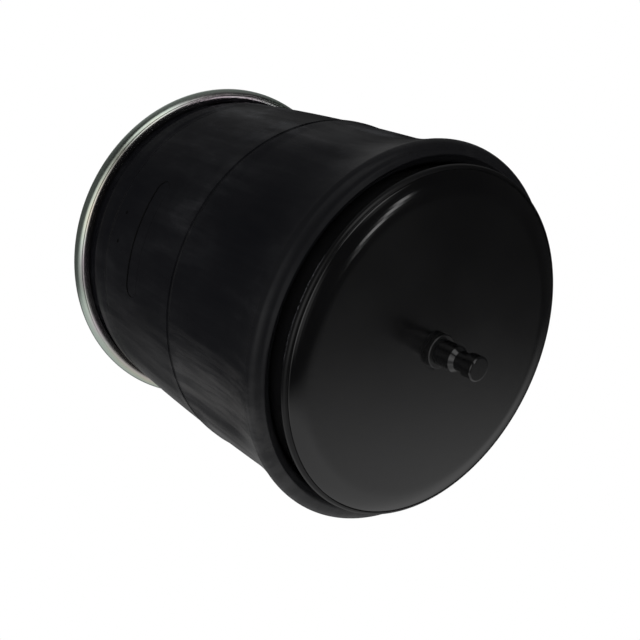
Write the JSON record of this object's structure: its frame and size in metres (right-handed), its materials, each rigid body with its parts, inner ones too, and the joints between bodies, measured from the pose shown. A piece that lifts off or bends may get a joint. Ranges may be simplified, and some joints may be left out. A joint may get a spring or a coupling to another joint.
{
  "type": "air suspension spring",
  "caption": "Rolling-lobe air spring: a rubber sleeve between a crimped steel bead plate with studs and an air inlet, and a steel piston with a central grooved locating pin.",
  "frame": {"origin": "centre of the upper mounting face, on the spring's axis", "axes": "+Z along the spring's axis, out of the upper mounting face; the sleeve and piston hang towards -Z; the two studs lie on X and the air inlet on +Y"},
  "size_m": [0.287, 0.287, 0.362],
  "materials": {
    "sleeve_rubber": "satin moulded rubber with a dusty bloom",
    "bumper_rubber": "matt",
    "black_paint": "gloss black paint",
    "zinc_plate": "zinc plated with a faint iridescent passivate",
    "bare_steel": "bare steel"
  },
  "bodies": {
    "upper_assembly": {"upper_bead_plate": "zinc_plate", "mounting_studs": "zinc_plate", "stud_weld_beads": "bare_steel", "air_inlet_boss": "zinc_plate", "inlet_weld_bead": "bare_steel", "upper_bead_hoop": "bare_steel", "bellows": "sleeve_rubber"},
    "piston_assembly": {"piston_shell": "black_paint", "piston_base_plate": "black_paint", "locating_pin": "black_paint", "pin_collar": "black_paint", "support_tube": "bare_steel", "lower_bead_plate": "zinc_plate", "lower_bead_hoop": "bare_steel", "centre_bolt": "zinc_plate", "bolt_washer": "zinc_plate", "bolt_sealing_ring": "bumper_rubber", "weld_nut": "bare_steel", "bumper_retainer": "zinc_plate", "bumper": "bumper_rubber"}
  },
  "joints": [
    {"name": "piston_stroke", "type": "slide", "parent": "upper_assembly", "child": "piston_assembly", "axis": [0, 0, -1], "range_m": [-0.0095, 0.2], "deforming": ["bellows"]}
  ]
}
